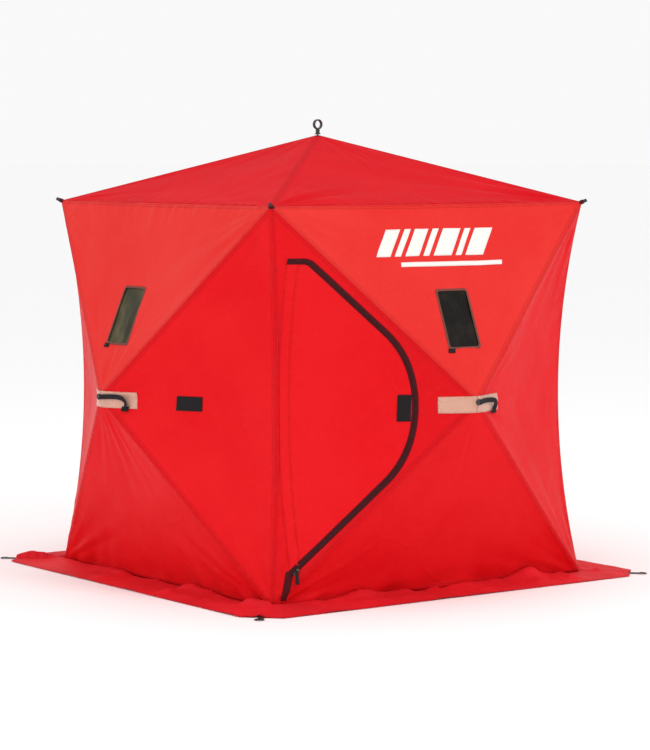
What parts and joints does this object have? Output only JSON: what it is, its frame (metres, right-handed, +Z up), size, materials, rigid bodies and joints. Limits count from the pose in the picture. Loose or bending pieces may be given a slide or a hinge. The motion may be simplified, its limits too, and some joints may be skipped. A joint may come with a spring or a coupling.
{
  "type": "ice fishing shelter",
  "caption": "Pop-up hub shelter: a square fabric tent whose walls and roof are braced outward by hubs and poles, with a side door, windows and a ground skirt.",
  "frame": {"origin": "centre of the square footprint, on the ice", "axes": "+Z up; the front wall with the door faces -Y, the wall with the second window faces -X"},
  "size_m": [2.452, 2.452, 2.144],
  "materials": {
    "shelter_cloth": "woven polyester, satin",
    "skirt_cloth": "woven polyester, matt",
    "pole_fibreglass": "pultruded fibreglass",
    "hub_moulding": "moulded nylon",
    "cap_moulding": "moulded plastic",
    "window_vinyl": "tinted vinyl",
    "zip_tape": "zip tape and coil",
    "zip_slider": "die-cast, lacquered",
    "black_cloth": "hook-and-loop patch",
    "webbing": "woven webbing"
  },
  "bodies": {
    "root": {"skirt": "skirt_cloth", "corner_caps": "cap_moulding", "corner_anchors": "webbing"},
    "front_hub": {"front_hub": "hub_moulding", "front_hub_cap": "cap_moulding"},
    "front_pole_upper_left": {"front_pole_upper_left": "pole_fibreglass"},
    "front_pole_upper_right": {"front_pole_upper_right": "pole_fibreglass"},
    "front_pole_lower_left": {"front_pole_lower_left": "pole_fibreglass"},
    "front_pole_lower_right": {"front_pole_lower_right": "pole_fibreglass"},
    "front_panel_top": {"front_panel_top": "shelter_cloth"},
    "front_panel_bottom": {"front_panel_bottom": "shelter_cloth"},
    "front_panel_left": {"front_panel_left": "shelter_cloth", "door_zipper": "zip_tape"},
    "front_panel_right": {"front_panel_right": "shelter_cloth"},
    "right_hub": {"right_hub": "hub_moulding", "right_hub_cap": "cap_moulding"},
    "right_pole_upper_left": {"right_pole_upper_left": "pole_fibreglass"},
    "right_pole_upper_right": {"right_pole_upper_right": "pole_fibreglass"},
    "right_pole_lower_left": {"right_pole_lower_left": "pole_fibreglass"},
    "right_pole_lower_right": {"right_pole_lower_right": "pole_fibreglass"},
    "right_panel_top": {"right_panel_top": "shelter_cloth"},
    "right_panel_bottom": {"right_panel_bottom": "shelter_cloth"},
    "right_panel_left": {"right_panel_left": "shelter_cloth"},
    "right_panel_right": {"right_panel_right": "shelter_cloth"},
    "back_hub": {"back_hub": "hub_moulding", "back_hub_cap": "cap_moulding"},
    "back_pole_upper_left": {"back_pole_upper_left": "pole_fibreglass"},
    "back_pole_upper_right": {"back_pole_upper_right": "pole_fibreglass"},
    "back_pole_lower_left": {"back_pole_lower_left": "pole_fibreglass"},
    "back_pole_lower_right": {"back_pole_lower_right": "pole_fibreglass"},
    "back_panel_top": {"back_panel_top": "shelter_cloth"},
    "back_panel_bottom": {"back_panel_bottom": "shelter_cloth"},
    "back_panel_left": {"back_panel_left": "shelter_cloth"},
    "back_panel_right": {"back_panel_right": "shelter_cloth"},
    "left_hub": {"left_hub": "hub_moulding", "left_hub_cap": "cap_moulding"},
    "left_pole_upper_left": {"left_pole_upper_left": "pole_fibreglass"},
    "left_pole_upper_right": {"left_pole_upper_right": "pole_fibreglass"},
    "left_pole_lower_left": {"left_pole_lower_left": "pole_fibreglass"},
    "left_pole_lower_right": {"left_pole_lower_right": "pole_fibreglass"},
    "left_panel_top": {"left_panel_top": "shelter_cloth"},
    "left_panel_bottom": {"left_panel_bottom": "shelter_cloth"},
    "left_panel_left": {"left_panel_left": "shelter_cloth"},
    "left_panel_right": {"left_panel_right": "shelter_cloth"},
    "roof_hub": {"roof_hub": "hub_moulding", "roof_hub_cap": "cap_moulding"},
    "roof_pole_front_left": {"roof_pole_front_left": "pole_fibreglass"},
    "roof_pole_front_right": {"roof_pole_front_right": "pole_fibreglass"},
    "roof_pole_back_right": {"roof_pole_back_right": "pole_fibreglass"},
    "roof_pole_back_left": {"roof_pole_back_left": "pole_fibreglass"},
    "roof_panel_front": {"roof_panel_front": "shelter_cloth"},
    "roof_panel_right": {"roof_panel_right": "shelter_cloth"},
    "roof_panel_back": {"roof_panel_back": "shelter_cloth"},
    "roof_panel_left": {"roof_panel_left": "shelter_cloth"},
    "door_band": {"door_band": "shelter_cloth"},
    "door_flap": {"door_flap": "shelter_cloth", "door_tab": "black_cloth"},
    "zipper_slider": {"zipper_slider": "zip_slider"},
    "front_window": {"front_window": "window_vinyl"},
    "left_window": {"left_window": "window_vinyl"}
  },
  "joints": [
    {"name": "front_hub_push", "type": "slide", "parent": "root", "child": "front_hub", "axis": [0, 1, 0], "range_m": [0, 0.639]},
    {"name": "front_pole_upper_left_hinge", "type": "hinge", "parent": "front_hub", "child": "front_pole_upper_left", "pos_m": [-0.02857, -1.19239, 0.91199], "axis": [0.6998, 0, 0.7143], "range_deg": [0, 29.72]},
    {"name": "front_pole_upper_right_hinge", "type": "hinge", "parent": "front_hub", "child": "front_pole_upper_right", "pos_m": [0.02857, -1.19239, 0.91199], "axis": [0.6998, 0, -0.7143], "range_deg": [0, 29.72]},
    {"name": "front_pole_lower_left_hinge", "type": "hinge", "parent": "front_hub", "child": "front_pole_lower_left", "pos_m": [-0.02841, -1.19239, 0.85584], "axis": [-0.7039, 0, 0.7103], "range_deg": [0, 29.56]},
    {"name": "front_pole_lower_right_hinge", "type": "hinge", "parent": "front_hub", "child": "front_pole_lower_right", "pos_m": [0.02841, -1.19239, 0.85584], "axis": [-0.7039, 0, -0.7103], "range_deg": [0, 29.56]},
    {"name": "front_panel_top_seam", "type": "hinge", "parent": "root", "child": "front_panel_top", "pos_m": [0, -0.889, 1.755], "axis": [1, 0, 0], "range_deg": [0, 40.15], "deforming": ["front_panel_top"]},
    {"name": "front_panel_bottom_seam", "type": "hinge", "parent": "root", "child": "front_panel_bottom", "pos_m": [0, -0.889, 0.003], "axis": [-1, 0, 0], "range_deg": [0, 39.73], "deforming": ["front_panel_bottom"]},
    {"name": "front_panel_left_seam", "type": "hinge", "parent": "root", "child": "front_panel_left", "pos_m": [-0.814, -0.814, 0.884], "axis": [0, 0, 1], "range_deg": [0, 41.39], "deforming": ["front_panel_left"]},
    {"name": "front_panel_right_seam", "type": "hinge", "parent": "root", "child": "front_panel_right", "pos_m": [0.814, -0.814, 0.884], "axis": [0, 0, -1], "range_deg": [0, 41.39], "deforming": ["front_panel_right"]},
    {"name": "right_hub_push", "type": "slide", "parent": "root", "child": "right_hub", "axis": [-1, 0, 0], "range_m": [0, 0.639]},
    {"name": "right_pole_upper_left_hinge", "type": "hinge", "parent": "right_hub", "child": "right_pole_upper_left", "pos_m": [1.19239, -0.02857, 0.91199], "axis": [0, 0.6998, 0.7143], "range_deg": [0, 29.72]},
    {"name": "right_pole_upper_right_hinge", "type": "hinge", "parent": "right_hub", "child": "right_pole_upper_right", "pos_m": [1.19239, 0.02857, 0.91199], "axis": [0, 0.6998, -0.7143], "range_deg": [0, 29.72]},
    {"name": "right_pole_lower_left_hinge", "type": "hinge", "parent": "right_hub", "child": "right_pole_lower_left", "pos_m": [1.19239, -0.02841, 0.85584], "axis": [0, -0.7039, 0.7103], "range_deg": [0, 29.56]},
    {"name": "right_pole_lower_right_hinge", "type": "hinge", "parent": "right_hub", "child": "right_pole_lower_right", "pos_m": [1.19239, 0.02841, 0.85584], "axis": [0, -0.7039, -0.7103], "range_deg": [0, 29.56]},
    {"name": "right_panel_top_seam", "type": "hinge", "parent": "root", "child": "right_panel_top", "pos_m": [0.889, 0, 1.755], "axis": [0, 1, 0], "range_deg": [0, 40.15], "deforming": ["right_panel_top"]},
    {"name": "right_panel_bottom_seam", "type": "hinge", "parent": "root", "child": "right_panel_bottom", "pos_m": [0.889, 0, 0.003], "axis": [0, -1, 0], "range_deg": [0, 39.73], "deforming": ["right_panel_bottom"]},
    {"name": "right_panel_left_seam", "type": "hinge", "parent": "root", "child": "right_panel_left", "pos_m": [0.814, -0.814, 0.884], "axis": [0, 0, 1], "range_deg": [0, 41.39], "deforming": ["right_panel_left"]},
    {"name": "right_panel_right_seam", "type": "hinge", "parent": "root", "child": "right_panel_right", "pos_m": [0.814, 0.814, 0.884], "axis": [0, 0, -1], "range_deg": [0, 41.39], "deforming": ["right_panel_right"]},
    {"name": "back_hub_push", "type": "slide", "parent": "root", "child": "back_hub", "axis": [0, -1, 0], "range_m": [0, 0.639]},
    {"name": "back_pole_upper_left_hinge", "type": "hinge", "parent": "back_hub", "child": "back_pole_upper_left", "pos_m": [0.02857, 1.19239, 0.91199], "axis": [-0.6998, 0, 0.7143], "range_deg": [0, 29.72]},
    {"name": "back_pole_upper_right_hinge", "type": "hinge", "parent": "back_hub", "child": "back_pole_upper_right", "pos_m": [-0.02857, 1.19239, 0.91199], "axis": [-0.6998, 0, -0.7143], "range_deg": [0, 29.72]},
    {"name": "back_pole_lower_left_hinge", "type": "hinge", "parent": "back_hub", "child": "back_pole_lower_left", "pos_m": [0.02841, 1.19239, 0.85584], "axis": [0.7039, 0, 0.7103], "range_deg": [0, 29.56]},
    {"name": "back_pole_lower_right_hinge", "type": "hinge", "parent": "back_hub", "child": "back_pole_lower_right", "pos_m": [-0.02841, 1.19239, 0.85584], "axis": [0.7039, 0, -0.7103], "range_deg": [0, 29.56]},
    {"name": "back_panel_top_seam", "type": "hinge", "parent": "root", "child": "back_panel_top", "pos_m": [0, 0.889, 1.755], "axis": [-1, 0, 0], "range_deg": [0, 40.15], "deforming": ["back_panel_top"]},
    {"name": "back_panel_bottom_seam", "type": "hinge", "parent": "root", "child": "back_panel_bottom", "pos_m": [0, 0.889, 0.003], "axis": [1, 0, 0], "range_deg": [0, 39.73], "deforming": ["back_panel_bottom"]},
    {"name": "back_panel_left_seam", "type": "hinge", "parent": "root", "child": "back_panel_left", "pos_m": [0.814, 0.814, 0.884], "axis": [0, 0, 1], "range_deg": [0, 41.39], "deforming": ["back_panel_left"]},
    {"name": "back_panel_right_seam", "type": "hinge", "parent": "root", "child": "back_panel_right", "pos_m": [-0.814, 0.814, 0.884], "axis": [0, 0, -1], "range_deg": [0, 41.39], "deforming": ["back_panel_right"]},
    {"name": "left_hub_push", "type": "slide", "parent": "root", "child": "left_hub", "axis": [1, 0, 0], "range_m": [0, 0.639]},
    {"name": "left_pole_upper_left_hinge", "type": "hinge", "parent": "left_hub", "child": "left_pole_upper_left", "pos_m": [-1.19239, 0.02857, 0.91199], "axis": [0, -0.6998, 0.7143], "range_deg": [0, 29.72]},
    {"name": "left_pole_upper_right_hinge", "type": "hinge", "parent": "left_hub", "child": "left_pole_upper_right", "pos_m": [-1.19239, -0.02857, 0.91199], "axis": [0, -0.6998, -0.7143], "range_deg": [0, 29.72]},
    {"name": "left_pole_lower_left_hinge", "type": "hinge", "parent": "left_hub", "child": "left_pole_lower_left", "pos_m": [-1.19239, 0.02841, 0.85584], "axis": [0, 0.7039, 0.7103], "range_deg": [0, 29.56]},
    {"name": "left_pole_lower_right_hinge", "type": "hinge", "parent": "left_hub", "child": "left_pole_lower_right", "pos_m": [-1.19239, -0.02841, 0.85584], "axis": [0, 0.7039, -0.7103], "range_deg": [0, 29.56]},
    {"name": "left_panel_top_seam", "type": "hinge", "parent": "root", "child": "left_panel_top", "pos_m": [-0.889, 0, 1.755], "axis": [0, -1, 0], "range_deg": [0, 40.15], "deforming": ["left_panel_top"]},
    {"name": "left_panel_bottom_seam", "type": "hinge", "parent": "root", "child": "left_panel_bottom", "pos_m": [-0.889, 0, 0.003], "axis": [0, 1, 0], "range_deg": [0, 39.73], "deforming": ["left_panel_bottom"]},
    {"name": "left_panel_left_seam", "type": "hinge", "parent": "root", "child": "left_panel_left", "pos_m": [-0.814, 0.814, 0.884], "axis": [0, 0, 1], "range_deg": [0, 41.39], "deforming": ["left_panel_left"]},
    {"name": "left_panel_right_seam", "type": "hinge", "parent": "root", "child": "left_panel_right", "pos_m": [-0.814, -0.814, 0.884], "axis": [0, 0, -1], "range_deg": [0, 41.39], "deforming": ["left_panel_right"]},
    {"name": "roof_hub_pull", "type": "slide", "parent": "root", "child": "roof_hub", "axis": [0, 0, -1], "range_m": [0, 0.61]},
    {"name": "roof_pole_front_left_hinge", "type": "hinge", "parent": "roof_hub", "child": "roof_pole_front_left", "pos_m": [-0.02828, -0.02828, 2.04398], "axis": [-0.7071, 0.7071, 0], "range_deg": [0, 28.15]},
    {"name": "roof_pole_front_right_hinge", "type": "hinge", "parent": "roof_hub", "child": "roof_pole_front_right", "pos_m": [0.02828, -0.02828, 2.04398], "axis": [-0.7071, -0.7071, 0], "range_deg": [0, 28.15]},
    {"name": "roof_pole_back_right_hinge", "type": "hinge", "parent": "roof_hub", "child": "roof_pole_back_right", "pos_m": [0.02828, 0.02828, 2.04398], "axis": [0.7071, -0.7071, 0], "range_deg": [0, 28.15]},
    {"name": "roof_pole_back_left_hinge", "type": "hinge", "parent": "roof_hub", "child": "roof_pole_back_left", "pos_m": [-0.02828, 0.02828, 2.04398], "axis": [0.7071, 0.7071, 0], "range_deg": [0, 28.15]},
    {"name": "roof_panel_front_seam", "type": "hinge", "parent": "root", "child": "roof_panel_front", "pos_m": [0, -0.889, 1.755], "axis": [-1, 0, 0], "range_deg": [0, 37.76], "deforming": ["roof_panel_front"]},
    {"name": "roof_panel_right_seam", "type": "hinge", "parent": "root", "child": "roof_panel_right", "pos_m": [0.889, 0, 1.755], "axis": [0, -1, 0], "range_deg": [0, 37.76], "deforming": ["roof_panel_right"]},
    {"name": "roof_panel_back_seam", "type": "hinge", "parent": "root", "child": "roof_panel_back", "pos_m": [0, 0.889, 1.755], "axis": [1, 0, 0], "range_deg": [0, 37.76], "deforming": ["roof_panel_back"]},
    {"name": "roof_panel_left_seam", "type": "hinge", "parent": "root", "child": "roof_panel_left", "pos_m": [-0.889, 0, 1.755], "axis": [0, 1, 0], "range_deg": [0, 37.76], "deforming": ["roof_panel_left"]},
    {"name": "door_swing", "type": "hinge", "parent": "front_panel_left", "child": "door_band", "pos_m": [-0.84, -0.885, 0.84], "axis": [0, 0, -1], "range_deg": [0, 107.5]},
    {"name": "door_fold_back", "type": "hinge", "parent": "door_band", "child": "door_flap", "pos_m": [-0.84, -0.885, 0.84], "axis": [0, 0, -1], "range_deg": [0, 107.51]},
    {"name": "zipper_pull", "type": "slide", "parent": "front_panel_left", "child": "zipper_slider", "axis": [0.6942, -0.2629, 0.67], "range_m": [0, 0.5]},
    {"name": "front_window_removal", "type": "slide", "parent": "front_panel_top", "child": "front_window", "axis": [0, 0.9351, -0.3543], "range_m": [0, 0.12]},
    {"name": "left_window_removal", "type": "slide", "parent": "left_panel_top", "child": "left_window", "axis": [0.9351, 0, -0.3543], "range_m": [0, 0.12]}
  ],
  "couplings": [
    {"joint": "front_pole_upper_left_hinge", "follows": "front_hub_push", "rad_per_m": 0.81123},
    {"joint": "front_pole_upper_right_hinge", "follows": "front_hub_push", "rad_per_m": 0.81123},
    {"joint": "front_pole_lower_left_hinge", "follows": "front_hub_push", "rad_per_m": 0.80688},
    {"joint": "front_pole_lower_right_hinge", "follows": "front_hub_push", "rad_per_m": 0.80688},
    {"joint": "front_panel_top_seam", "follows": "front_hub_push", "rad_per_m": 1.096},
    {"joint": "front_panel_bottom_seam", "follows": "front_hub_push", "rad_per_m": 1.0846},
    {"joint": "front_panel_left_seam", "follows": "front_hub_push", "rad_per_m": 1.1299},
    {"joint": "front_panel_right_seam", "follows": "front_hub_push", "rad_per_m": 1.1299},
    {"joint": "right_pole_upper_left_hinge", "follows": "right_hub_push", "rad_per_m": 0.81123},
    {"joint": "right_pole_upper_right_hinge", "follows": "right_hub_push", "rad_per_m": 0.81123},
    {"joint": "right_pole_lower_left_hinge", "follows": "right_hub_push", "rad_per_m": 0.80688},
    {"joint": "right_pole_lower_right_hinge", "follows": "right_hub_push", "rad_per_m": 0.80688},
    {"joint": "right_panel_top_seam", "follows": "right_hub_push", "rad_per_m": 1.096},
    {"joint": "right_panel_bottom_seam", "follows": "right_hub_push", "rad_per_m": 1.0846},
    {"joint": "right_panel_left_seam", "follows": "right_hub_push", "rad_per_m": 1.1299},
    {"joint": "right_panel_right_seam", "follows": "right_hub_push", "rad_per_m": 1.1299},
    {"joint": "back_pole_upper_left_hinge", "follows": "back_hub_push", "rad_per_m": 0.81123},
    {"joint": "back_pole_upper_right_hinge", "follows": "back_hub_push", "rad_per_m": 0.81123},
    {"joint": "back_pole_lower_left_hinge", "follows": "back_hub_push", "rad_per_m": 0.80688},
    {"joint": "back_pole_lower_right_hinge", "follows": "back_hub_push", "rad_per_m": 0.80688},
    {"joint": "back_panel_top_seam", "follows": "back_hub_push", "rad_per_m": 1.096},
    {"joint": "back_panel_bottom_seam", "follows": "back_hub_push", "rad_per_m": 1.0846},
    {"joint": "back_panel_left_seam", "follows": "back_hub_push", "rad_per_m": 1.1299},
    {"joint": "back_panel_right_seam", "follows": "back_hub_push", "rad_per_m": 1.1299},
    {"joint": "left_pole_upper_left_hinge", "follows": "left_hub_push", "rad_per_m": 0.81123},
    {"joint": "left_pole_upper_right_hinge", "follows": "left_hub_push", "rad_per_m": 0.81123},
    {"joint": "left_pole_lower_left_hinge", "follows": "left_hub_push", "rad_per_m": 0.80688},
    {"joint": "left_pole_lower_right_hinge", "follows": "left_hub_push", "rad_per_m": 0.80688},
    {"joint": "left_panel_top_seam", "follows": "left_hub_push", "rad_per_m": 1.096},
    {"joint": "left_panel_bottom_seam", "follows": "left_hub_push", "rad_per_m": 1.0846},
    {"joint": "left_panel_left_seam", "follows": "left_hub_push", "rad_per_m": 1.1299},
    {"joint": "left_panel_right_seam", "follows": "left_hub_push", "rad_per_m": 1.1299},
    {"joint": "roof_pole_front_left_hinge", "follows": "roof_hub_pull", "rad_per_m": 0.8049},
    {"joint": "roof_pole_front_right_hinge", "follows": "roof_hub_pull", "rad_per_m": 0.8049},
    {"joint": "roof_pole_back_right_hinge", "follows": "roof_hub_pull", "rad_per_m": 0.8049},
    {"joint": "roof_pole_back_left_hinge", "follows": "roof_hub_pull", "rad_per_m": 0.8049},
    {"joint": "roof_panel_front_seam", "follows": "roof_hub_pull", "rad_per_m": 1.0797},
    {"joint": "roof_panel_right_seam", "follows": "roof_hub_pull", "rad_per_m": 1.0797},
    {"joint": "roof_panel_back_seam", "follows": "roof_hub_pull", "rad_per_m": 1.0797},
    {"joint": "roof_panel_left_seam", "follows": "roof_hub_pull", "rad_per_m": 1.0797},
    {"joint": "door_fold_back", "follows": "door_swing", "ratio": 1}
  ]
}
